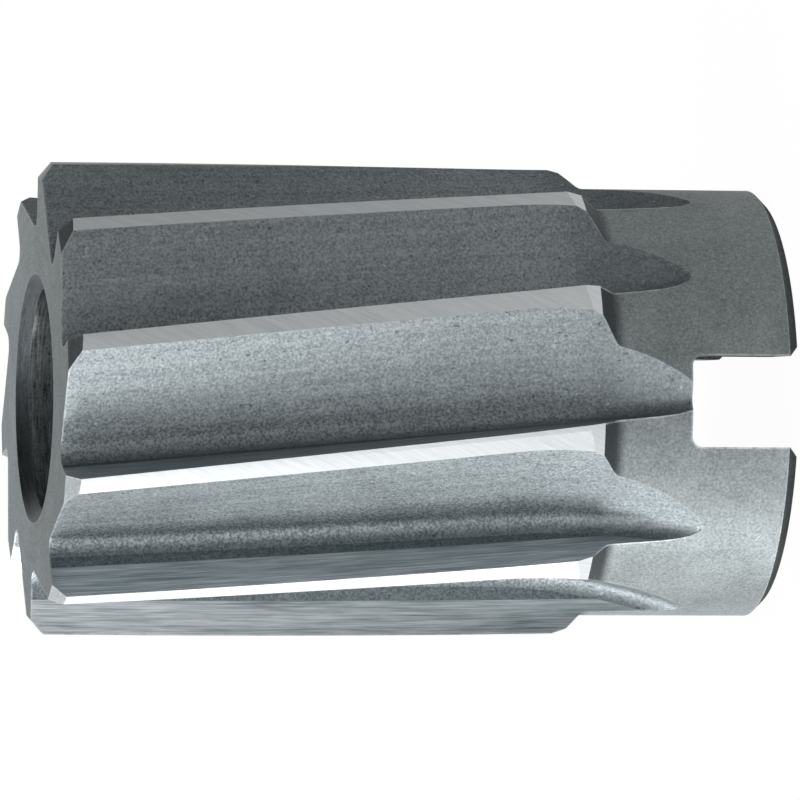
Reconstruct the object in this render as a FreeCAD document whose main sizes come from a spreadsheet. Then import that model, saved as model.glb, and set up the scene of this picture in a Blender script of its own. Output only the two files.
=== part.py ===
import FreeCAD, Part
import math
import os
import Sketcher

# Shell reamer with left-hand helical flutes, standing on its drive end.
# Frame: origin at the middle of the drive end face, +Z along the axis to the cutting end.
# Angles are counted about +Z from +X. The drive slot runs along Y.

os.makedirs("parts", exist_ok=True)
doc = FreeCAD.newDocument("shell_reamer")

# Driving sizes in millimetres and degrees
SIZES = {
    # Envelope
    "ream_diameter": 36.0,
    "overall_length": 56.0,
    "land_length": 39.55,
    "neck_diameter": 32.74,
    # Ends of the toothed part
    "lead_bevel_length": 1.0,
    "lead_bevel_depth": 1.15,
    "tail_bevel_length": 1.15,
    "tail_bevel_drop": 0.37,
    "shoulder_angle": 45.0,
    "shoulder_fillet": 0.7,
    # Tapered bore, widest at the drive end
    "bore_diameter": 19.0,
    "bore_taper_ratio": 30.0,
    "front_bore_chamfer": 0.9,
    "rear_bore_chamfer": 0.5,
    # Drive end
    "neck_chamfer": 0.75,
    "slot_width": 6.9,
    "slot_depth": 8.3,
    "slot_corner_radius": 0.8,
    "slot_mouth_bevel": 0.7,
    # Teeth: five unequal pitches, repeated on the opposite side
    "first_edge_angle": -42.2,
    "pitch_second": 33.2,
    "pitch_third": 34.9,
    "pitch_fourth": 36.35,
    "pitch_fifth": 37.5,
    "helix_lead": 1010.0,
    "land_width": 1.13,
    "margin_width": 0.35,
    "relief_angle": 8.0,
    # Flute section and run-out
    "flute_back_angle": 12.0,
    "gullet_fillet": 1.1,
    "flute_rise": 0.15,
    "runout_start": 20.8,
    "runout_radius": 41.0,
    "runout_advance": 1.2,
}

# How far a cutting shape stands clear of the blank
OVERRUN = 1.0

# Flats that stand for a hollow's arc, so that the faces made from it stay simple
GULLET_FLAT_COUNT = 5
SHOULDER_FLAT_COUNT = 2


def fill_sheet():
    table = doc.addObject("Spreadsheet::Sheet", "Sizes")
    for row, (alias, value) in enumerate(SIZES.items(), start=1):
        table.set(f"A{row}", alias)
        table.set(f"B{row}", str(value))
        table.setAlias(f"B{row}", alias)
    doc.recompute()
    return table


sheet = fill_sheet()

# Sizes that follow from the driving ones, as expressions
REAM_RADIUS = "(Sizes.ream_diameter / 2)"
NECK_RADIUS = "(Sizes.neck_diameter / 2)"
LENGTH = "Sizes.overall_length"
LAND_END = "(Sizes.overall_length - Sizes.land_length)"
SHOULDER_TOP = f"({LAND_END} - Sizes.tail_bevel_length)"
SHOULDER_RADIUS = f"({REAM_RADIUS} - Sizes.tail_bevel_drop)"
SHOULDER_FOOT = f"({SHOULDER_TOP} - ({SHOULDER_RADIUS} - {NECK_RADIUS}) / tan(Sizes.shoulder_angle))"
LAND_ANGLE = f"(Sizes.land_width / {REAM_RADIUS} * 180 / pi)"
CUT_PLANE = f"({LENGTH} + {OVERRUN})"

# The pitch in front of each tooth of one half; the first takes up the rest of 180 degrees
PITCHES = [
    "(180 - Sizes.pitch_second - Sizes.pitch_third - Sizes.pitch_fourth - Sizes.pitch_fifth)",
    "Sizes.pitch_second",
    "Sizes.pitch_third",
    "Sizes.pitch_fourth",
    "Sizes.pitch_fifth",
]


def value(expression):
    return float(sheet.evalExpression(expression))


def bore_radius(height):
    return f"(Sizes.bore_diameter / 2 - ({height}) / (2 * Sizes.bore_taper_ratio))"


def edge_angle(tooth, height):
    # Angle of a tooth's cutting edge at a height; the edges wind left-handed
    turned = " - ".join(["Sizes.first_edge_angle"] + PITCHES[1:tooth + 1])
    return f"({turned} + 360 / Sizes.helix_lead * ({LENGTH} - ({height})))"


def gullet_depth_radius(tooth):
    # Radius where rake face and flute back would meet, so that every land is equally wide
    gap = f"({PITCHES[tooth]} - {LAND_ANGLE})"
    return f"({REAM_RADIUS} * (cos({gap}) - tan(Sizes.flute_back_angle) * sin({gap})))"


def new_sketch(body, name, plane):
    sketch = body.newObject("Sketcher::SketchObject", name)
    support = next(item for item in body.Origin.OriginFeatures if item.Role == plane)
    sketch.AttachmentSupport = [(support, "")]
    sketch.MapMode = "FlatFace"
    return sketch


def bind(sketch, kind, geometry, point, expression):
    # Distance of a point from the sketch origin, or the point on the axis where it is nought
    if expression == "0":
        axis = -2 if kind == "DistanceX" else -1
        sketch.addConstraint(Sketcher.Constraint("PointOnObject", geometry, point, axis))
        return
    constraint = Sketcher.Constraint(kind, -1, 1, geometry, point, value(expression))
    index = sketch.addConstraint(constraint)
    sketch.setExpression(f"Constraints[{index}]", expression)


def pin_point(sketch, geometry, point, across, along):
    bind(sketch, "DistanceX", geometry, point, across)
    bind(sketch, "DistanceY", geometry, point, along)


def corner_arc(corner, before, after, radius):
    # Arc that rounds a corner, from the side towards one neighbour to the other
    towards_before = (before - corner).normalize()
    towards_after = (after - corner).normalize()
    half_angle = towards_before.getAngle(towards_after) / 2
    inward = (towards_before + towards_after).normalize()
    centre = corner + inward * (radius / math.sin(half_angle))
    start = corner + towards_before * (radius / math.tan(half_angle))
    end = corner + towards_after * (radius / math.tan(half_angle))
    return start, centre - inward * radius, end


def add_rounded_corner(sketch, line_in, line_out, points, radius):
    # Arc tangent to two lines, with its radius bound; gives back the kept sharp corner
    start, middle, end = points
    arc = sketch.addGeometry(Part.Arc(start, middle, end), False)
    first = 1 if sketch.getPoint(arc, 1).distanceToPoint(start) < 1e-6 else 2
    sketch.addConstraint(Sketcher.Constraint("Tangent", line_in, 2, arc, first))
    sketch.addConstraint(Sketcher.Constraint("Tangent", line_out, 1, arc, 3 - first))
    index = sketch.addConstraint(Sketcher.Constraint("Radius", arc, value(radius)))
    sketch.setExpression(f"Constraints[{index}]", radius)


def closed_outline(sketch, corners, rounded=None):
    # Straight-sided outline through corners given as pairs of expressions;
    # rounded maps a corner's number to the expression of its radius
    rounded = rounded or {}
    places = [FreeCAD.Vector(value(across), value(along), 0) for across, along in corners]
    count = len(places)
    arcs = {}
    for index, radius in rounded.items():
        neighbours = places[index - 1], places[(index + 1) % count]
        arcs[index] = corner_arc(places[index], *neighbours, value(radius))
    for index in range(count):
        following = (index + 1) % count
        start = arcs[index][2] if index in arcs else places[index]
        end = arcs[following][0] if following in arcs else places[following]
        sketch.addGeometry(Part.LineSegment(start, end), False)
    for index, (across, along) in enumerate(corners):
        line_in = (index - 1) % count
        if index not in arcs:
            sketch.addConstraint(Sketcher.Constraint("Coincident", line_in, 2, index, 1))
            pin_point(sketch, index, 1, across, along)
            continue
        add_rounded_corner(sketch, line_in, index, arcs[index], rounded[index])
        sharp = sketch.addGeometry(Part.Point(places[index]), True)
        sketch.addConstraint(Sketcher.Constraint("PointOnObject", sharp, 1, line_in))
        sketch.addConstraint(Sketcher.Constraint("PointOnObject", sharp, 1, index))
        pin_point(sketch, sharp, 1, across, along)


def arc_points(centre, radius, start, turn, flats):
    # Points along an arc, as pairs of expressions, from its start angle through its turn
    points = []
    for step in range(flats + 1):
        angle = f"({start} + ({turn}) * {step} / {flats})"
        across = f"{centre[0]} + {radius} * cos({angle})"
        along = f"{centre[1]} + {radius} * sin({angle})"
        points.append((across, along))
    return points


def shoulder_hollow():
    # Rounding between the neck and the shoulder
    radius = "Sizes.shoulder_fillet"
    angle = "Sizes.shoulder_angle"
    centre = (f"({NECK_RADIUS} + {radius})", f"({SHOULDER_FOOT} - {radius} * tan({angle} / 2))")
    return arc_points(centre, radius, "180", f"-{angle}", SHOULDER_FLAT_COUNT)


def make_blank(body):
    # Turned outline, from the drive end up the outside and down the tapered bore
    front_chamfer_foot = f"{LENGTH} - Sizes.front_bore_chamfer"
    outline = [
        (f"{bore_radius('Sizes.rear_bore_chamfer')} + Sizes.rear_bore_chamfer", "0"),
        (f"{NECK_RADIUS} - Sizes.neck_chamfer", "0"),
        (NECK_RADIUS, "Sizes.neck_chamfer"),
        *shoulder_hollow(),
        (SHOULDER_RADIUS, SHOULDER_TOP),
        (REAM_RADIUS, LAND_END),
        (REAM_RADIUS, f"{LENGTH} - Sizes.lead_bevel_length"),
        (f"{REAM_RADIUS} - Sizes.lead_bevel_depth", LENGTH),
        (f"{bore_radius(front_chamfer_foot)} + Sizes.front_bore_chamfer", LENGTH),
        (bore_radius(front_chamfer_foot), front_chamfer_foot),
        (bore_radius("Sizes.rear_bore_chamfer"), "Sizes.rear_bore_chamfer"),
    ]
    sketch = new_sketch(body, "BlankOutline", "XZ_Plane")
    closed_outline(sketch, outline)
    blank = body.newObject("PartDesign::Revolution", "Blank")
    blank.Profile = sketch
    blank.ReferenceAxis = (sketch, ["V_Axis"])
    blank.Angle = 360
    doc.recompute()


def make_guide_axis():
    # Line on the reamer's axis that keeps a swept section facing it
    axis = doc.addObject("Part::Line", "GuideAxis")
    axis.setExpression("Z1", f"2 * {LENGTH}")
    axis.setExpression("Z2", f"-{LENGTH}")
    doc.recompute()
    return axis


def make_spine(name, tooth, heights, radii):
    # Smooth curve that winds with a tooth, through one radius at each height
    points = []
    for height, radius in zip(heights, radii):
        turned = math.radians(value(edge_angle(tooth, height)))
        points.append(FreeCAD.Vector(radius * math.cos(turned), radius * math.sin(turned), height))
    curve = Part.BSplineCurve()
    curve.interpolate(points)
    spine = doc.addObject("Part::Feature", name)
    spine.Shape = Part.Wire([curve.toShape()])
    return spine


def place_on_cut_plane(sketch, tooth):
    # Sketch plane just past the cutting end, its X axis through the tooth's cutting edge
    angle = edge_angle(tooth, CUT_PLANE)
    place = f"placement(vector(0; 0; {CUT_PLANE}); rotation(vector(0; 0; 1); {angle}))"
    sketch.setExpression("AttachmentOffset", place)
    doc.recompute()


def sweep_cut(body, name, profile, spine, axis):
    # Cut the profile along the spine, turned to face the axis all the way
    before = body.Tip.Shape.Volume
    sweep = body.newObject("PartDesign::SubtractivePipe", name)
    sweep.Profile = profile
    sweep.Spine = (spine, ["Edge1"])
    sweep.Mode = "Auxiliary"
    sweep.AuxiliarySpine = (axis, ["Edge1"])
    sweep.AuxiliarySpineTangent = False
    sweep.AuxiliaryCurvilinear = False
    doc.recompute()
    if before - body.Tip.Shape.Volume < 1.0:
        raise ValueError(f"{name} cut nothing")
    return sweep


def repeat_opposite(body, sweeps):
    # The other five teeth are the same cuts, half a turn on
    before = body.Tip.Shape.Volume
    pattern = body.newObject("PartDesign::PolarPattern", "OppositeTeeth")
    pattern.Originals = sweeps
    turning_axis = next(item for item in body.Origin.OriginFeatures if item.Role == "Z_Axis")
    pattern.Axis = (turning_axis, [""])
    pattern.Angle = 360
    pattern.Occurrences = 2
    body.Tip = pattern
    doc.recompute()
    if before - body.Tip.Shape.Volume < 1.0:
        raise ValueError("the opposite teeth weren't cut")


def runout_start(tooth):
    # A deeper flute begins to run out earlier; the second flute is the shallowest
    extra_depth = f"({gullet_depth_radius(1)} - {gullet_depth_radius(tooth)})"
    return f"(Sizes.runout_start + Sizes.runout_advance * {extra_depth})"


def path_lift(height, start):
    # The milling path rises a little along the teeth, so the lands widen towards the neck,
    # and then leaves the flute on an arc
    rise = SIZES["flute_rise"] * (SIZES["overall_length"] - height) / SIZES["land_length"]
    short = max(start - height, 0.0)
    radius = SIZES["runout_radius"]
    return rise + radius - math.sqrt(radius ** 2 - short ** 2)


def flute_heights(gullet, start):
    # Heights of the path's points: the helical run, then the arc until it clears the neck
    top = value(CUT_PLANE)
    rise = value(NECK_RADIUS) + OVERRUN - gullet
    radius = SIZES["runout_radius"]
    reach = math.sqrt(radius ** 2 - (radius - rise) ** 2)
    blend = reach / 10
    heights = [top - (top - start - blend) * step / 4 for step in range(5)]
    heights += [start - blend - (reach - blend) * step / 6 for step in range(7)]
    return heights


def gullet_hollow(gullet):
    # Rounding from the flute's back to the radial rake face
    back = "Sizes.flute_back_angle"
    radius = "Sizes.gullet_fillet"
    centre = (f"({gullet} + {radius} * (1 + sin({back})) / cos({back}))", radius)
    points = arc_points(centre, radius, f"(180 - {back})", f"(90 + {back})", GULLET_FLAT_COUNT)
    points[-1] = (centre[0], "0")
    return points


def cut_flute(body, tooth, axis):
    # Gap in front of one tooth: radial rake face, rounded gullet, straight sloping back
    gullet = gullet_depth_radius(tooth)
    outside = f"({REAM_RADIUS} + {OVERRUN})"
    width = f"({REAM_RADIUS} * sin({PITCHES[tooth]} - {LAND_ANGLE}) + {OVERRUN} / 2)"
    outline = [
        (outside, "0"),
        (outside, width),
        (f"{gullet} + {width} * tan(Sizes.flute_back_angle)", width),
    ]
    outline += gullet_hollow(gullet)
    sketch = new_sketch(body, f"FluteSection{tooth + 1}", "XY_Plane")
    place_on_cut_plane(sketch, tooth)
    closed_outline(sketch, outline)
    depth_radius = value(gullet)
    start = value(runout_start(tooth))
    heights = flute_heights(depth_radius, start)
    radii = [depth_radius + path_lift(height, start) for height in heights]
    spine = make_spine(f"FlutePath{tooth + 1}", tooth, heights, radii)
    return sweep_cut(body, f"Flute{tooth + 1}", sketch, spine, axis)


def grind_relief(body, tooth, axis):
    # Clearance behind the narrow cylindrical margin of one tooth
    margin = "Sizes.margin_width"
    reach = "(3 * Sizes.land_width)"
    margin_radius = f"sqrt({REAM_RADIUS} * {REAM_RADIUS} - {margin} * {margin})"
    outside = f"({REAM_RADIUS} + {OVERRUN})"
    outline = [
        (margin_radius, f"-{margin}"),
        (outside, f"-{margin}"),
        (outside, f"-{margin} - {reach}"),
        (f"{margin_radius} - {reach} * tan(Sizes.relief_angle)", f"-{margin} - {reach}"),
    ]
    sketch = new_sketch(body, f"ReliefSection{tooth + 1}", "XY_Plane")
    place_on_cut_plane(sketch, tooth)
    closed_outline(sketch, outline)
    top = value(CUT_PLANE)
    bottom = value(SHOULDER_FOOT)
    heights = [top - (top - bottom) * step / 6 for step in range(7)]
    radii = [value(REAM_RADIUS)] * len(heights)
    spine = make_spine(f"ReliefPath{tooth + 1}", tooth, heights, radii)
    return sweep_cut(body, f"Relief{tooth + 1}", sketch, spine, axis)


def cut_slot(body):
    # Drive slot across the end face, with rounded bottom corners and bevelled mouth
    half = "(Sizes.slot_width / 2)"
    mouth = f"({half} + Sizes.slot_mouth_bevel)"
    outline = [
        (f"-{mouth}", f"-{OVERRUN}"),
        (mouth, f"-{OVERRUN}"),
        (mouth, "0"),
        (half, "Sizes.slot_mouth_bevel"),
        (half, "Sizes.slot_depth"),
        (f"-{half}", "Sizes.slot_depth"),
        (f"-{half}", "Sizes.slot_mouth_bevel"),
        (f"-{mouth}", "0"),
    ]
    sketch = new_sketch(body, "SlotSection", "XZ_Plane")
    closed_outline(sketch, outline, {4: "Sizes.slot_corner_radius", 5: "Sizes.slot_corner_radius"})
    before = body.Tip.Shape.Volume
    slot = body.newObject("PartDesign::Pocket", "DriveSlot")
    slot.Profile = sketch
    slot.Type = "ThroughAll"
    slot.Midplane = True
    doc.recompute()
    if before - body.Tip.Shape.Volume < 1.0:
        raise ValueError("the drive slot cut nothing")


def make_reamer():
    body = doc.addObject("PartDesign::Body", "Reamer")
    body.Label = "reamer_body"
    make_blank(body)
    axis = make_guide_axis()
    teeth = range(len(PITCHES))
    sweeps = [cut_flute(body, tooth, axis) for tooth in teeth]
    sweeps += [grind_relief(body, tooth, axis) for tooth in teeth]
    repeat_opposite(body, sweeps)
    cut_slot(body)
    return body


def check_document(bodies):
    for item in doc.Objects:
        if "Invalid" in item.State or "Error" in item.State:
            raise ValueError(f"{item.Name} did not build: {item.State}")
    for body in bodies:
        if body.Shape.isNull() or not body.Shape.isValid():
            raise ValueError(f"{body.Label} has no valid shape")
        if len(body.Shape.Solids) != 1:
            raise ValueError(f"{body.Label} is {len(body.Shape.Solids)} solids")


reamer = make_reamer()
doc.recompute()
check_document([reamer])
reamer.Shape.exportStep(f"parts/{reamer.Label}.step")
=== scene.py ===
import math

import bmesh
import bpy
from mathutils import Matrix, Vector


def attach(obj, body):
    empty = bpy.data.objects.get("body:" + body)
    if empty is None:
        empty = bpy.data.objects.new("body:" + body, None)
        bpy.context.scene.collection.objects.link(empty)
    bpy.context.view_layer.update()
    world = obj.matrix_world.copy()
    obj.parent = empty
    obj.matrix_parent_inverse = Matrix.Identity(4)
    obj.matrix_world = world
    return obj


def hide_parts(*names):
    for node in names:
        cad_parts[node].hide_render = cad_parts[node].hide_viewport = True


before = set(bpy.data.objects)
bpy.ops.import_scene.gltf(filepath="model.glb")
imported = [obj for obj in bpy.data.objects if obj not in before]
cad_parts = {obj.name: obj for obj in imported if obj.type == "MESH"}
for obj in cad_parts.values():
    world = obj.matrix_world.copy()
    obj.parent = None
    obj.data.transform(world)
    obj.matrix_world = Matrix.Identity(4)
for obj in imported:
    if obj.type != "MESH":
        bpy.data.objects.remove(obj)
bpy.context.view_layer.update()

# Sizes of the reamer in metres, as the solid has them
REAM_RADIUS = 0.0180
NECK_RADIUS = 0.01637
LENGTH = 0.056
LEAD_BEVEL = 0.0010
SHOULDER_TOP = 0.0153
TAIL_RADIUS = 0.01763
SLOT_HALF = 0.00345
SLOT_MOUTH = 0.0007
SLOT_DEPTH = 0.0083
HELIX_LEAD = 1.010
MM_PER_METRE = 1000

# Faces nearer to the axis than this are the bore's and its chamfers'
BORE_LIMIT = 0.0104

# How far a face may lie off the size it is known by, in metres, and how squarely an end face looks
# along the axis
RADIUS_SLACK = 0.0003
HEIGHT_SLACK = 0.0001
END_FACING = 0.99

# Radii in millimetres between which the ground part of a rake face ends
GROUND_RADII = (15.32, 15.38)

# Radii and heights in millimetres over which the steel is painted darker, as painted shade: in the
# gullets, where the flutes run out, and towards the shoulder
GULLET_RADII = (14.8, 13.2)
RUN_OUT_HEIGHTS = (18.0, 14.5)
SHOULDER_HEIGHTS = (13.2, 14.2)

# Size of the blasted skin's grain in millimetres, and width of the rubbed edges with their painted
# highlight in metres
GRAIN_SIZE = 0.2
WEAR_AND_HIGHLIGHT_WIDTH = 0.00017

# How fast the turning rings change on their way round
RING_CHANGES = 5.0

# How far the grinding marks on the lands and the scuffs on the neck lean from the axis, in degrees
MARK_SLANT = 30
SCUFF_SLANT = -55

# Greatest angle in degrees that is still shaded smooth, on the lands and elsewhere
LAND_SMOOTHING = 5
OTHER_SMOOTHING = 26

# The photograph's camera: angles in degrees, lengths in metres
CAMERA_AZIMUTH = -90.5
CAMERA_ELEVATION = 10.767
CAMERA_ROLL = 0.386
CAMERA_DISTANCE = 0.7705
CAMERA_SHIFT_RIGHT = 0.000305
CAMERA_SHIFT_UP = 0.000069
PIXELS_PER_METRE = 13063
SENSOR_WIDTH = 36.0
PICTURE_WIDTH = 800

# The studio: share of plain white in the floor, and the sizes of what is set up round the reamer
WHITE_SHARE = 0.97
FLOOR_HALF_WIDTH = 3
# The dark sheet round the drive end's foot is painted shade, standing for the ground's shadow
SHADE_SHEET_RADIUS = 0.0168
SHADE_SHEET_HEIGHT = 0.00002
SHADE_SHEET_SHADE = 0.11
NEAR_RADIUS = 0.07
CARD_HEIGHT = 0.0001
WALL_RADIUS = 0.30
WALL_HEIGHT = 0.15
ROOF_HEIGHT = 0.45
ROOF_OFFSET = 0.20
DARK_SHADE = 0.10

# Azimuths in degrees where one card ends and the next begins
FIRST_AZIMUTH = -104
CORNER_AZIMUTH = -78
MIDDLE_AZIMUTH = -62
SIDE_AZIMUTH = -30
REAR_AZIMUTH = 78
LAST_AZIMUTH = 116

# The cards' sections: two ends, each with its distance from the axis and its height
NEAR_GROUND = ((SHADE_SHEET_RADIUS, CARD_HEIGHT), (NEAR_RADIUS, CARD_HEIGHT))
FAR_GROUND = ((NEAR_RADIUS, CARD_HEIGHT), (WALL_RADIUS, CARD_HEIGHT))
LOW_WALL = ((WALL_RADIUS, CARD_HEIGHT), (WALL_RADIUS, WALL_HEIGHT))
RAISED_WALL = ((WALL_RADIUS, 0.03), (WALL_RADIUS, WALL_HEIGHT))
HIGH_WALL = ((WALL_RADIUS, WALL_HEIGHT), (WALL_RADIUS, ROOF_HEIGHT))
BEHIND_FACE = ((0.045, 0.052), (0.045, 0.078))

# Grey cards round the reamer: section, first and last azimuth, shade
CARDS = {
    "near_card": (NEAR_GROUND, FIRST_AZIMUTH, REAR_AZIMUTH, 0.58),
    "front_ground_card": (FAR_GROUND, FIRST_AZIMUTH, MIDDLE_AZIMUTH, 0.03),
    "middle_ground_card": (FAR_GROUND, MIDDLE_AZIMUTH, SIDE_AZIMUTH, 0.56),
    "side_ground_card": (FAR_GROUND, SIDE_AZIMUTH, REAR_AZIMUTH, 0.25),
    "front_wall_card": (LOW_WALL, FIRST_AZIMUTH, CORNER_AZIMUTH, 0.72),
    "corner_wall_card": (LOW_WALL, CORNER_AZIMUTH, MIDDLE_AZIMUTH, 0.12),
    "side_wall_card": (LOW_WALL, MIDDLE_AZIMUTH, REAR_AZIMUTH, 0.17),
    "rear_wall_card": (RAISED_WALL, REAR_AZIMUTH, LAST_AZIMUTH, 0.16),
    "face_card": (BEHIND_FACE, 50, 130, 0.62),
    "dark_wall_card": (HIGH_WALL, FIRST_AZIMUTH, LAST_AZIMUTH, DARK_SHADE),
}

# Softboxes, aimed at the middle of the reamer: place, width and depth in metres, power in watts
LIT_PLACE = (0, 0, 0.03)
LAMPS = {
    "key_light": ((-1.1, -0.6, 0.8), 1.6, 1.6, 7),
    "low_light": ((-1.08, -0.22, 0.09), 0.5, 0.16, 4.6),
}

# Steel colours that several finishes share. The dull one also gives painted shade in the flutes, the
# dark one is painted shade under the teeth, and the rubbed one also paints highlights on edges
DULL_STEEL_AND_SHADE = (0.13, 0.155, 0.165)
SHADE_UNDER_TEETH = (0.05, 0.06, 0.065)
RUBBED_AND_LIT_STEEL = (0.82, 0.87, 0.89)

# Turned or ground finishes: the measure across the marks, their spacing in millimetres and relief,
# the darkest and lightest steel, roughness, share of blasted grain, and how far edges are rubbed and
# painted with highlight
FACED = ("Radius", 0.12, 0.8, (0.19, 0.23, 0.245), (0.44, 0.50, 0.515), 0.40, 1.8, 0.4)
TURNED = {
    "lead_bevel": ("Radius", 0.1, 0.5, (0.34, 0.38, 0.39), (0.60, 0.64, 0.65), 0.28, 1.0, 0.6),
    "neck": ("Height", 0.14, 0.15, (0.22, 0.245, 0.25), (0.42, 0.46, 0.47), 0.55, 1.4, 0.6),
    "front_face": FACED,
    "drive_face": FACED,
    "bore": ("Height", 0.16, 1.2, (0.06, 0.075, 0.08), (0.74, 0.79, 0.80), 0.34, 0.6, 0.15),
    # The bore's chamfer has darker steel than the bore: painted shade
    "bore_chamfer": ("Height", 0.12, 0.7, (0.04, 0.05, 0.055), (0.17, 0.19, 0.20), 0.40, 0.6, 0.15),
    "slot": ("Height", 0.2, 0.6, (0.32, 0.36, 0.37), (0.56, 0.61, 0.62), 0.42, 1.0, 0.6),
}


# Camera and stage


def place_camera():
    # The reamer's axis lies across the picture, cutting end to the left
    azimuth = math.radians(CAMERA_AZIMUTH)
    elevation = math.radians(CAMERA_ELEVATION)
    roll = math.radians(CAMERA_ROLL)
    near = Vector((math.cos(azimuth), math.sin(azimuth), 0))
    axis = Vector((0, 0, 1))
    level_up = Vector((-math.sin(azimuth), math.cos(azimuth), 0))
    level_right = near * math.sin(elevation) - axis * math.cos(elevation)
    back = near * math.cos(elevation) + axis * math.sin(elevation)
    right = level_right * math.cos(roll) + level_up * math.sin(roll)
    up = level_up * math.cos(roll) - level_right * math.sin(roll)
    place = Vector((0, 0, LENGTH / 2)) + back * CAMERA_DISTANCE
    place += right * CAMERA_SHIFT_RIGHT + up * CAMERA_SHIFT_UP
    camera = bpy.data.cameras.new("photo_camera")
    camera.sensor_width = SENSOR_WIDTH
    camera.lens = PIXELS_PER_METRE * CAMERA_DISTANCE * SENSOR_WIDTH / PICTURE_WIDTH
    camera.clip_start = 0.05
    camera.clip_end = 20
    holder = bpy.data.objects.new("photo_camera", camera)
    holder.matrix_world = Matrix.Translation(place) @ Matrix((right, up, back)).transposed().to_4x4()
    bpy.context.scene.collection.objects.link(holder)
    bpy.context.scene.camera = holder


def plain_material(name, colour):
    material = bpy.data.materials.new(name)
    material.use_nodes = True
    shader = material.node_tree.nodes["Principled BSDF"]
    shader.inputs["Base Color"].default_value = (*colour, 1)
    shader.inputs["Roughness"].default_value = 0.9
    shader.inputs["Specular IOR Level"].default_value = 0.1
    return material


def make_white_floor():
    # White to the camera and to reflections, and still shaded a little where the reamer stands
    material = plain_material("white_floor", (0.94, 0.94, 0.94))
    tree = material.node_tree
    path = tree.nodes.new("ShaderNodeLightPath")
    seen = add_math(tree, "ADD", path.outputs["Is Camera Ray"], path.outputs["Is Glossy Ray"])
    seen = add_math(tree, "ADD", seen, path.outputs["Is Transmission Ray"], clamp=True)
    glow = tree.nodes.new("ShaderNodeEmission")
    glow.inputs["Strength"].default_value = 1.0
    blend = tree.nodes.new("ShaderNodeMixShader")
    tree.links.new(times(tree, seen, WHITE_SHARE), blend.inputs["Fac"])
    tree.links.new(tree.nodes["Principled BSDF"].outputs[0], blend.inputs[1])
    tree.links.new(glow.outputs[0], blend.inputs[2])
    tree.links.new(blend.outputs[0], tree.nodes["Material Output"].inputs["Surface"])
    return material


def even_card(name, shade):
    # Card that looks equally bright all over, whatever lights it
    material = bpy.data.materials.new(name)
    material.use_nodes = True
    tree = material.node_tree
    tree.nodes.remove(tree.nodes["Principled BSDF"])
    glow = tree.nodes.new("ShaderNodeEmission")
    glow.inputs["Strength"].default_value = shade
    tree.links.new(glow.outputs[0], tree.nodes["Material Output"].inputs["Surface"])
    return material


def add_stage_mesh(name, builder, material):
    mesh = bpy.data.meshes.new(name)
    builder.to_mesh(mesh)
    builder.free()
    mesh.materials.append(material)
    thing = bpy.data.objects.new(name, mesh)
    bpy.context.scene.collection.objects.link(thing)
    return thing


def make_floor():
    builder = bmesh.new()
    bmesh.ops.create_grid(builder, x_segments=1, y_segments=1, size=FLOOR_HALF_WIDTH)
    add_stage_mesh("floor", builder, make_white_floor())


def show_in_reflections_only(card):
    card.visible_camera = False
    card.visible_diffuse = False
    card.visible_shadow = False


def make_round_card(name, section, first, last, shade):
    # Card swept round the reamer's axis, as a product studio darkens one side of a bright tool
    builder = bmesh.new()
    corners = [builder.verts.new((radius, 0, height)) for radius, height in section]
    edge = builder.edges.new(corners)
    bmesh.ops.rotate(builder, verts=corners, matrix=Matrix.Rotation(math.radians(first), 3, "Z"))
    turn = math.radians(last - first)
    swept = corners + [edge]
    bmesh.ops.spin(builder, geom=swept, cent=(0, 0, 0), axis=(0, 0, 1), angle=turn, steps=36)
    show_in_reflections_only(add_stage_mesh(name, builder, even_card(name, shade)))


def make_dark_roof():
    # Over the top, on the cards' side
    builder = bmesh.new()
    place = Matrix.Translation((ROOF_OFFSET, 0, ROOF_HEIGHT))
    bmesh.ops.create_circle(builder, cap_ends=True, segments=64, radius=WALL_RADIUS, matrix=place)
    roof = add_stage_mesh("dark_roof", builder, even_card("dark_roof", DARK_SHADE))
    show_in_reflections_only(roof)


def make_ground_shade_sheet():
    # Painted shade: a dark sheet, seen only in reflections, stands for what the drive end and the
    # shoulder show of the shaded ground beneath them
    builder = bmesh.new()
    place = Matrix.Translation((0, 0, SHADE_SHEET_HEIGHT))
    bmesh.ops.create_circle(builder, cap_ends=True, segments=64, radius=SHADE_SHEET_RADIUS, matrix=place)
    show_in_reflections_only(add_stage_mesh("ground_shade_sheet", builder, even_card("ground_shade_sheet", SHADE_SHEET_SHADE)))


def make_world():
    world = bpy.data.worlds.new("soft_studio")
    world.use_nodes = True
    background = world.node_tree.nodes["Background"]
    background.inputs["Color"].default_value = (1, 1, 1, 1)
    background.inputs["Strength"].default_value = 1.0
    bpy.context.scene.world = world


def make_softbox(name, place, width, depth, power):
    lamp = bpy.data.lights.new(name, "AREA")
    lamp.shape = "RECTANGLE"
    lamp.size = width
    lamp.size_y = depth
    lamp.energy = power
    holder = bpy.data.objects.new(name, lamp)
    direction = Vector(LIT_PLACE) - Vector(place)
    holder.location = place
    holder.rotation_euler = direction.to_track_quat("-Z", "Y").to_euler()
    bpy.context.scene.collection.objects.link(holder)


# Shared shader groups


def new_group(name, inputs, outputs):
    group = bpy.data.node_groups.new(name, "ShaderNodeTree")
    for label, kind, start in inputs:
        socket = group.interface.new_socket(name=label, in_out="INPUT", socket_type=kind)
        if start is not None:
            socket.default_value = start
    for label, kind in outputs:
        group.interface.new_socket(name=label, in_out="OUTPUT", socket_type=kind)
    entry = group.nodes.new("NodeGroupInput")
    leave = group.nodes.new("NodeGroupOutput")
    return group, entry, leave


def add_math(tree, operation, first, second=None, clamp=False):
    node = tree.nodes.new("ShaderNodeMath")
    node.operation = operation
    node.use_clamp = clamp
    for index, source in enumerate((first, second)):
        feed(tree, source, node.inputs[index])
    return node.outputs[0]


def times(tree, first, second):
    return add_math(tree, "MULTIPLY", first, second)


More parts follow.
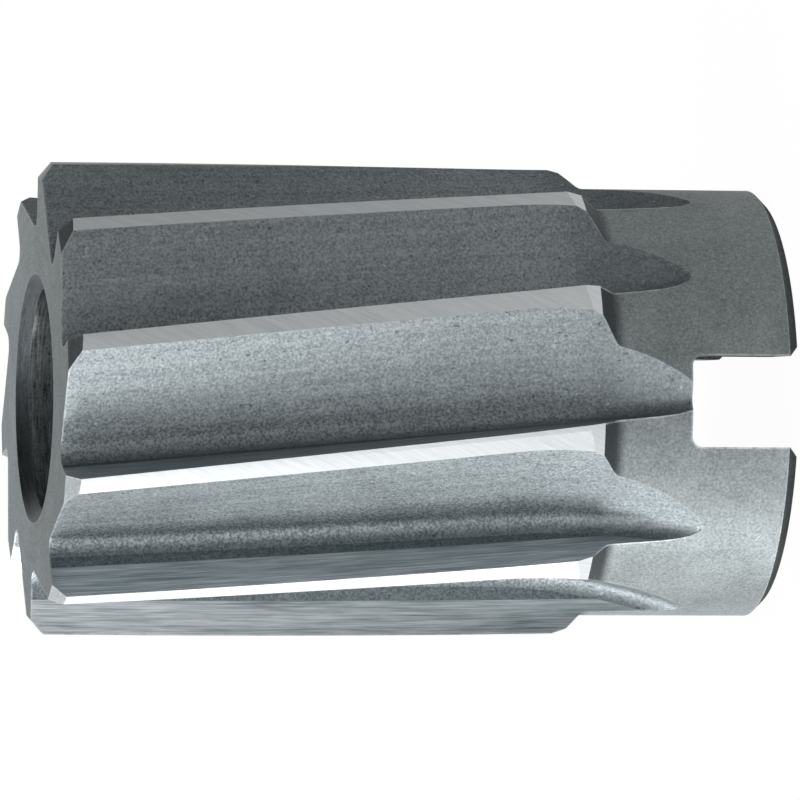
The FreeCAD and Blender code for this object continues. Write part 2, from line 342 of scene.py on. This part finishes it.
def feed(tree, source, socket):
    # A source is another node's socket or a plain number
    if source is None:
        return
    if isinstance(source, (int, float)):
        socket.default_value = source
    else:
        tree.links.new(source, socket)


def add_ramp(tree, source, low, high):
    # From 0 at low to 1 at high, held outside
    node = tree.nodes.new("ShaderNodeMapRange")
    node.interpolation_type = "SMOOTHSTEP"
    feed(tree, source, node.inputs["Value"])
    feed(tree, low, node.inputs["From Min"])
    feed(tree, high, node.inputs["From Max"])
    return node.outputs["Result"]


def add_noise(tree, coordinates, scale, detail=2.0, roughness=0.5):
    node = tree.nodes.new("ShaderNodeTexNoise")
    tree.links.new(coordinates, node.inputs["Vector"])
    feed(tree, scale, node.inputs["Scale"])
    node.inputs["Detail"].default_value = detail
    node.inputs["Roughness"].default_value = roughness
    return node.outputs["Fac"]


def combine(tree, x, y, z):
    node = tree.nodes.new("ShaderNodeCombineXYZ")
    for socket, source in zip(node.inputs, (x, y, z)):
        feed(tree, source, socket)
    return node.outputs[0]


def mix_colour(tree, share, first, second):
    node = tree.nodes.new("ShaderNodeMix")
    node.data_type = "RGBA"
    feed(tree, share, node.inputs["Factor"])
    for name, source in (("A", first), ("B", second)):
        socket = next(item for item in node.inputs if item.name == name and item.type == "RGBA")
        if isinstance(source, tuple):
            socket.default_value = (*source, 1)
        else:
            tree.links.new(source, socket)
    return next(item for item in node.outputs if item.type == "RGBA")


def build_tool_coordinates():
    # Places on the tool in millimetres, from Object coordinates. Straightened has the flutes' twist
    # taken out, and Outward is the direction away from the axis.
    group, entry, leave = new_group(
        "tool_coordinates",
        [],
        [
            ("Point", "NodeSocketVector"),
            ("Straightened", "NodeSocketVector"),
            ("Outward", "NodeSocketVector"),
            ("Radius", "NodeSocketFloat"),
            ("Height", "NodeSocketFloat"),
            ("Around", "NodeSocketFloat"),
        ],
    )
    group.nodes.remove(entry)
    texture = group.nodes.new("ShaderNodeTexCoord")
    scaled = group.nodes.new("ShaderNodeVectorMath")
    scaled.operation = "SCALE"
    group.links.new(texture.outputs["Object"], scaled.inputs[0])
    scaled.inputs["Scale"].default_value = MM_PER_METRE
    parts = group.nodes.new("ShaderNodeSeparateXYZ")
    group.links.new(scaled.outputs[0], parts.inputs[0])
    x, y, z = parts.outputs
    turned = times(group, z, 2 * math.pi / (HELIX_LEAD * MM_PER_METRE))
    turner = group.nodes.new("ShaderNodeVectorRotate")
    turner.rotation_type = "Z_AXIS"
    group.links.new(scaled.outputs[0], turner.inputs["Vector"])
    group.links.new(turned, turner.inputs["Angle"])
    flat = combine(group, x, y, 0)
    outward = group.nodes.new("ShaderNodeVectorMath")
    outward.operation = "NORMALIZE"
    group.links.new(flat, outward.inputs[0])
    length = group.nodes.new("ShaderNodeVectorMath")
    length.operation = "LENGTH"
    group.links.new(flat, length.inputs[0])
    angle = add_math(group, "ADD", add_math(group, "ARCTAN2", y, x), turned)
    group.links.new(scaled.outputs[0], leave.inputs["Point"])
    group.links.new(turner.outputs[0], leave.inputs["Straightened"])
    group.links.new(outward.outputs[0], leave.inputs["Outward"])
    group.links.new(length.outputs["Value"], leave.inputs["Radius"])
    group.links.new(z, leave.inputs["Height"])
    group.links.new(times(group, angle, REAM_RADIUS * MM_PER_METRE), leave.inputs["Around"])
    return group


def build_fine_grain():
    # Matt, faintly pitted skin of hardened and blasted steel; Size is in millimetres
    group, entry, leave = new_group(
        "fine_grain",
        [
            ("Point", "NodeSocketVector", None),
            ("Size", "NodeSocketFloat", GRAIN_SIZE),
        ],
        [
            ("Tone", "NodeSocketFloat"),
            ("Patches", "NodeSocketFloat"),
            ("Pits", "NodeSocketFloat"),
            ("Specks", "NodeSocketFloat"),
        ],
    )
    point = entry.outputs["Point"]
    frequency = add_math(group, "DIVIDE", 1, entry.outputs["Size"])
    fine = add_noise(group, point, frequency, 2, 0.6)
    coarse = add_noise(group, point, times(group, frequency, 0.3), 2, 0.5)
    tone = add_math(group, "ADD", times(group, fine, 0.85), times(group, coarse, 0.15))
    group.links.new(tone, leave.inputs["Tone"])
    group.links.new(add_noise(group, point, 0.22, 3, 0.6), leave.inputs["Patches"])
    dots = add_noise(group, point, times(group, frequency, 0.6), 1, 0.3)
    group.links.new(add_ramp(group, dots, 0.29, 0.22), leave.inputs["Pits"])
    group.links.new(add_ramp(group, dots, 0.71, 0.78), leave.inputs["Specks"])
    return group


def build_worn_and_lit_edges():
    # Outer edges rubbed bright, here and there, partly wear and partly painted highlight; Width is in
    # metres
    group, entry, leave = new_group(
        "worn_and_lit_edges",
        [
            ("Point", "NodeSocketVector", None),
            ("Width", "NodeSocketFloat", WEAR_AND_HIGHLIGHT_WIDTH),
        ],
        [("Worn_and_lit", "NodeSocketFloat")],
    )
    probe = group.nodes.new("ShaderNodeAmbientOcclusion")
    probe.samples = 6
    probe.inside = True
    probe.only_local = True
    group.links.new(entry.outputs["Width"], probe.inputs["Distance"])
    edge = add_ramp(group, probe.outputs["AO"], 0.97, 0.78)
    here_and_there = add_ramp(group, add_noise(group, entry.outputs["Point"], 0.9, 3, 0.7), 0.30, 0.60)
    group.links.new(times(group, edge, here_and_there), leave.inputs["Worn_and_lit"])
    return group


def build_line_marks():
    # Fine grinding, milling or turning lines: noise drawn out along one direction. Place is given
    # in units of the lines' spacing, already shortened along them.
    group, entry, leave = new_group(
        "line_marks",
        [("Place", "NodeSocketVector", None)],
        [
            ("Lines", "NodeSocketFloat"),
            ("Scratches", "NodeSocketFloat"),
        ],
    )
    lines = add_noise(group, entry.outputs["Place"], 1.0, 3, 0.6)
    broad = add_noise(group, entry.outputs["Place"], 0.27, 2, 0.5)
    both = add_math(group, "ADD", times(group, lines, 0.65), times(group, broad, 0.35))
    scratches = add_ramp(group, add_noise(group, entry.outputs["Place"], 0.5, 2, 0.7), 0.66, 0.72)
    group.links.new(both, leave.inputs["Lines"])
    group.links.new(scratches, leave.inputs["Scratches"])
    return group


GROUPS = {
    "coordinates": build_tool_coordinates(),
    "grain": build_fine_grain(),
    "lines": build_line_marks(),
    "wear_and_highlight": build_worn_and_lit_edges(),
}


def place_group(tree, name, **sources):
    node = tree.nodes.new("ShaderNodeGroup")
    node.node_tree = GROUPS[name]
    for label, source in sources.items():
        feed(tree, source, node.inputs[label])
    return node


# Steel finishes


def new_steel(name):
    material = bpy.data.materials.new(name)
    material.use_nodes = True
    tree = material.node_tree
    shader = tree.nodes["Principled BSDF"]
    shader.inputs["Metallic"].default_value = 1.0
    place = place_group(tree, "coordinates")
    return material, tree, shader, place.outputs


def spread(tree, source, middle, change):
    # A value that varies about its middle with a pattern that runs from 0 to 1
    offset = add_math(tree, "SUBTRACT", source, 0.5)
    return add_math(tree, "ADD", times(tree, offset, change), middle)


def add_bump(tree, height, strength, distance):
    # Distance is in metres
    node = tree.nodes.new("ShaderNodeBump")
    tree.links.new(height, node.inputs["Height"])
    node.inputs["Strength"].default_value = strength
    node.inputs["Distance"].default_value = distance
    return node.outputs["Normal"]


def tint(tree, tone, dark, light):
    return mix_colour(tree, add_math(tree, "MULTIPLY", tone, 1.0, clamp=True), dark, light)


def stretched(tree, vector, across, along):
    # A place with its X and Y counted in steps of across and its Z in steps of along
    node = tree.nodes.new("ShaderNodeVectorMath")
    node.operation = "DIVIDE"
    tree.links.new(vector, node.inputs[0])
    node.inputs[1].default_value = (across, across, along)
    return node.outputs[0]


# Edges rubbed bright: part wear, part painted highlight
def rub_and_light_edges(tree, place, colour, share, bright):
    wear_and_highlight = place_group(tree, "wear_and_highlight", Point=place["Point"], Width=WEAR_AND_HIGHLIGHT_WIDTH)
    return mix_colour(tree, times(tree, wear_and_highlight.outputs["Worn_and_lit"], share), colour, bright)


def lines_along_tool(tree, place, spacing, length):
    return place_group(tree, "lines", Place=stretched(tree, place["Straightened"], spacing, length))


def lines_round_axis(tree, place, across, spacing):
    # Rings that follow the axis
    scaled = tree.nodes.new("ShaderNodeVectorMath")
    scaled.operation = "SCALE"
    tree.links.new(place["Outward"], scaled.inputs[0])
    scaled.inputs["Scale"].default_value = RING_CHANGES
    step = combine(tree, 0, 0, add_math(tree, "DIVIDE", place[across], spacing))
    summed = tree.nodes.new("ShaderNodeVectorMath")
    summed.operation = "ADD"
    tree.links.new(scaled.outputs[0], summed.inputs[0])
    tree.links.new(step, summed.inputs[1])
    return place_group(tree, "lines", Place=summed.outputs[0])


def slanted_lines(tree, place, slant, spacing, length):
    # Marks on a cylinder that lean from the axis by the slant in degrees
    rising = math.sin(math.radians(slant))
    level = math.cos(math.radians(slant))
    across = add_up(tree, times(tree, place["Around"], level), times(tree, place["Height"], -rising))
    along = add_up(tree, times(tree, place["Height"], level), times(tree, place["Around"], rising))
    across = add_math(tree, "DIVIDE", across, spacing)
    along = add_math(tree, "DIVIDE", along, length)
    return place_group(tree, "lines", Place=combine(tree, across, along, 0))


def add_up(tree, *sources):
    total = sources[0]
    for source in sources[1:]:
        total = add_math(tree, "ADD", total, source)
    return total


def make_blasted_steel():
    # Hardened and blasted skin, with faint milling streaks along the tool, and painted shade that
    # darkens it in the gullets and where the flutes run out
    material, tree, shader, place = new_steel("blasted_flute")
    grain = place_group(tree, "grain", Point=place["Point"], Size=GRAIN_SIZE)
    lines = lines_along_tool(tree, place, 0.34, 14.0)
    deep = add_ramp(tree, place["Radius"], *GULLET_RADII)
    tone = add_up(
        tree,
        spread(tree, grain.outputs["Tone"], 0.5, 2.6),
        times(tree, spread(tree, grain.outputs["Tone"], 0.0, 3.5), deep),
        spread(tree, lines.outputs["Lines"], 0.0, 1.0),
        spread(tree, grain.outputs["Patches"], 0.0, 0.4),
    )
    colour = tint(tree, tone, (0.215, 0.247, 0.264), (0.50, 0.548, 0.565))
    # Painted shade: the skin is mixed towards darker steel deep in the gullets and where the flutes run
    # out
    run_out = add_ramp(tree, place["Height"], *RUN_OUT_HEIGHTS)
    gullet_and_run_out_shade = add_math(tree, "MAXIMUM", times(tree, deep, 0.22), times(tree, run_out, 0.3))
    colour = mix_colour(tree, gullet_and_run_out_shade, colour, DULL_STEEL_AND_SHADE)
    colour = mix_colour(tree, times(tree, grain.outputs["Pits"], 0.7), colour, (0.10, 0.12, 0.13))
    colour = mix_colour(tree, times(tree, grain.outputs["Specks"], 0.35), colour, (0.80, 0.85, 0.87))
    # Edges rubbed bright, partly a painted highlight
    colour = rub_and_light_edges(tree, place, colour, 0.5, (0.70, 0.75, 0.77))
    tree.links.new(colour, shader.inputs["Base Color"])
    tree.links.new(spread(tree, grain.outputs["Patches"], 0.56, 0.12), shader.inputs["Roughness"])
    height = add_up(tree, grain.outputs["Tone"], times(tree, lines.outputs["Lines"], 0.6))
    tree.links.new(add_bump(tree, height, 0.9, 0.00003), shader.inputs["Normal"])
    return material


def make_ground_land():
    # Bright cylindrical grinding, its fine marks slanting over the narrow land
    material, tree, shader, place = new_steel("ground_land")
    shader.inputs["Metallic"].default_value = 0.85
    lines = slanted_lines(tree, place, MARK_SLANT, 0.09, 3.0)
    tone = spread(tree, lines.outputs["Lines"], 0.6, 1.6)
    colour = tint(tree, tone, (0.56, 0.61, 0.63), (0.87, 0.90, 0.91))
    colour = mix_colour(tree, times(tree, lines.outputs["Scratches"], 0.35), colour, (0.40, 0.44, 0.45))
    tree.links.new(colour, shader.inputs["Base Color"])
    tree.links.new(spread(tree, lines.outputs["Lines"], 0.50, 0.2), shader.inputs["Roughness"])
    tree.links.new(add_bump(tree, lines.outputs["Lines"], 0.4, 0.00001), shader.inputs["Normal"])
    return material


def make_rake_face():
    # Ground along the tool near the edge, left blasted deeper in the flute
    material, tree, shader, place = new_steel("rake_face")
    grain = place_group(tree, "grain", Point=place["Point"], Size=GRAIN_SIZE)
    lines = lines_along_tool(tree, place, 0.12, 4.0)
    ground = add_ramp(tree, place["Radius"], *GROUND_RADII)
    streaks = spread(tree, lines.outputs["Lines"], 0.55, 3.5)
    bright = tint(tree, streaks, (0.24, 0.28, 0.295), (0.70, 0.74, 0.76))
    skin = spread(tree, grain.outputs["Tone"], 0.5, 3.2)
    matt = tint(tree, skin, DULL_STEEL_AND_SHADE, (0.30, 0.34, 0.355))
    # Edges rubbed bright, partly a painted highlight
    colour = rub_and_light_edges(tree, place, mix_colour(tree, ground, matt, bright), 0.5, (0.85, 0.88, 0.90))
    tree.links.new(colour, shader.inputs["Base Color"])
    gloss = spread(tree, lines.outputs["Lines"], 0.32, 0.2)
    less = times(tree, ground, add_math(tree, "SUBTRACT", 0.52, gloss))
    tree.links.new(add_math(tree, "SUBTRACT", 0.52, less), shader.inputs["Roughness"])
    height = times(tree, lines.outputs["Lines"], ground)
    tree.links.new(add_bump(tree, height, 0.5, 0.00002), shader.inputs["Normal"])
    return material


def make_turned_steel(zone, across, spacing, relief, dark, light, roughness, grain_share, rub_and_light):
    # Turned or ground round the axis, with a blasted skin over it
    material, tree, shader, place = new_steel(zone)
    grain = place_group(tree, "grain", Point=place["Point"], Size=GRAIN_SIZE)
    lines = lines_round_axis(tree, place, across, spacing)
    tone = add_up(
        tree,
        spread(tree, grain.outputs["Tone"], 0.5, 1.7 * grain_share),
        spread(tree, lines.outputs["Lines"], 0.0, 2.4 * relief),
        spread(tree, grain.outputs["Patches"], 0.0, 0.7 * grain_share),
    )
    colour = tint(tree, tone, dark, light)
    colour = mix_colour(tree, times(tree, lines.outputs["Scratches"], relief * 0.5), colour, light)
    colour = mix_colour(tree, times(tree, grain.outputs["Pits"], 0.5 * grain_share), colour, dark)
    if zone == "neck":
        colour = shade_and_scuff_neck(tree, place, grain, colour)
    # Edges rubbed bright, partly a painted highlight
    colour = rub_and_light_edges(tree, place, colour, rub_and_light, RUBBED_AND_LIT_STEEL)
    tree.links.new(colour, shader.inputs["Base Color"])
    tree.links.new(spread(tree, grain.outputs["Patches"], roughness, 0.1), shader.inputs["Roughness"])
    height = add_up(tree, grain.outputs["Tone"], times(tree, lines.outputs["Lines"], relief))
    tree.links.new(add_bump(tree, height, 0.5, 0.00002), shader.inputs["Normal"])
    return material


def shade_and_scuff_neck(tree, place, grain, colour):
    # Painted shade towards the corner under the teeth, and scuffed in places
    corner = times(tree, add_ramp(tree, place["Height"], *SHOULDER_HEIGHTS), 0.85)
    colour = mix_colour(tree, corner, colour, SHADE_UNDER_TEETH)
    scuffs = slanted_lines(tree, place, SCUFF_SLANT, 0.07, 1.2)
    scuffed = add_ramp(tree, grain.outputs["Patches"], 0.54, 0.64)
    scuffed = times(tree, scuffed, scuffs.outputs["Scratches"])
    return mix_colour(tree, times(tree, scuffed, 0.8), colour, RUBBED_AND_LIT_STEEL)


# The reamer


def zone_of(face):
    # Which finish a face of the reamer has, from where it lies and which way it looks
    centre = face.calc_center_median()
    radius = math.hypot(centre.x, centre.y)
    outward = Vector((centre.x, centre.y, 0)) / max(radius, 1e-6)
    radial = face.normal.dot(outward)
    axial = face.normal.z
    if in_slot(centre, face.normal):
        return "slot"
    if radius < BORE_LIMIT:
        return "bore_chamfer" if abs(axial) > 0.5 else "bore"
    if axial > END_FACING:
        return "front_face"
    if axial < -END_FACING:
        return "drive_face"
    if is_land(centre, radius, radial):
        return "land"
    if 0.6 < axial < 0.9 and centre.z > LENGTH - LEAD_BEVEL:
        return "lead_bevel"
    if centre.z < SHOULDER_TOP and is_turned(radius, radial, axial):
        return "neck"
    if abs(radial) < 0.06 and abs(axial) < 0.3:
        return "rake"
    return "flute"


def in_slot(centre, normal):
    # The slot's walls and mouth bevels look along X, its floor down
    near = abs(centre.x) < SLOT_HALF + SLOT_MOUTH and centre.z < SLOT_DEPTH + HEIGHT_SLACK
    wall = abs(normal.y) < 0.02 and abs(normal.x) > 0.2
    ceiling = normal.z < -0.9 and centre.z > 0.004
    return near and (wall or ceiling)


def is_land(centre, radius, radial):
    # The ground lands with the slight bevel at their tail
    return radius > TAIL_RADIUS - 0.0002 and centre.z > SHOULDER_TOP and radial > 0.93


def is_turned(radius, radial, axial):
    # The cylindrical neck, or the shoulder above it and the bevel at its foot
    cylinder = abs(axial) < 0.005 and radial > 0.99 and radius > NECK_RADIUS - RADIUS_SLACK
    return cylinder or axial < -0.15


FINISHES = ["flute", "land", "rake", *TURNED]
SMOOTH_TOGETHER = [{"flute", "rake"}]


def make_finishes():
    finishes = {"flute": make_blasted_steel(), "land": make_ground_land(), "rake": make_rake_face()}
    for zone, facts in TURNED.items():
        finishes[zone] = make_turned_steel(zone, *facts)
    return finishes


def make_reamer():
    # The solid's own surface, joined up, with its finishes face by face
    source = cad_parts["reamer_body"].data
    builder = bmesh.new()
    builder.from_mesh(source)
    bmesh.ops.remove_doubles(builder, verts=builder.verts, dist=1e-6)
    builder.normal_update()
    zones = {face: zone_of(face) for face in builder.faces}
    for face, zone in zones.items():
        face.material_index = FINISHES.index(zone)
        face.smooth = True
    for edge in builder.edges:
        edge.smooth = is_soft(edge, zones)
    mesh = bpy.data.meshes.new("reamer_steel")
    builder.to_mesh(mesh)
    builder.free()
    finishes = make_finishes()
    for name in FINISHES:
        mesh.materials.append(finishes[name])
    reamer = bpy.data.objects.new("reamer_steel", mesh)
    bpy.context.scene.collection.objects.link(reamer)
    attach(reamer, "root")
    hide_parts("reamer_body")


def is_soft(edge, zones):
    if len(edge.link_faces) != 2:
        return False
    pair = {zones[face] for face in edge.link_faces}
    if len(pair) == 2 and pair not in SMOOTH_TOGETHER:
        return False
    limit = LAND_SMOOTHING if pair == {"land"} else OTHER_SMOOTHING
    return edge.calc_face_angle(0) < math.radians(limit)


bpy.context.scene.view_settings.view_transform = "Standard"
place_camera()
make_world()
make_floor()
for name, card in CARDS.items():
    make_round_card(name, *card)
make_dark_roof()
make_ground_shade_sheet()
for name, lamp in LAMPS.items():
    make_softbox(name, *lamp)
make_reamer()
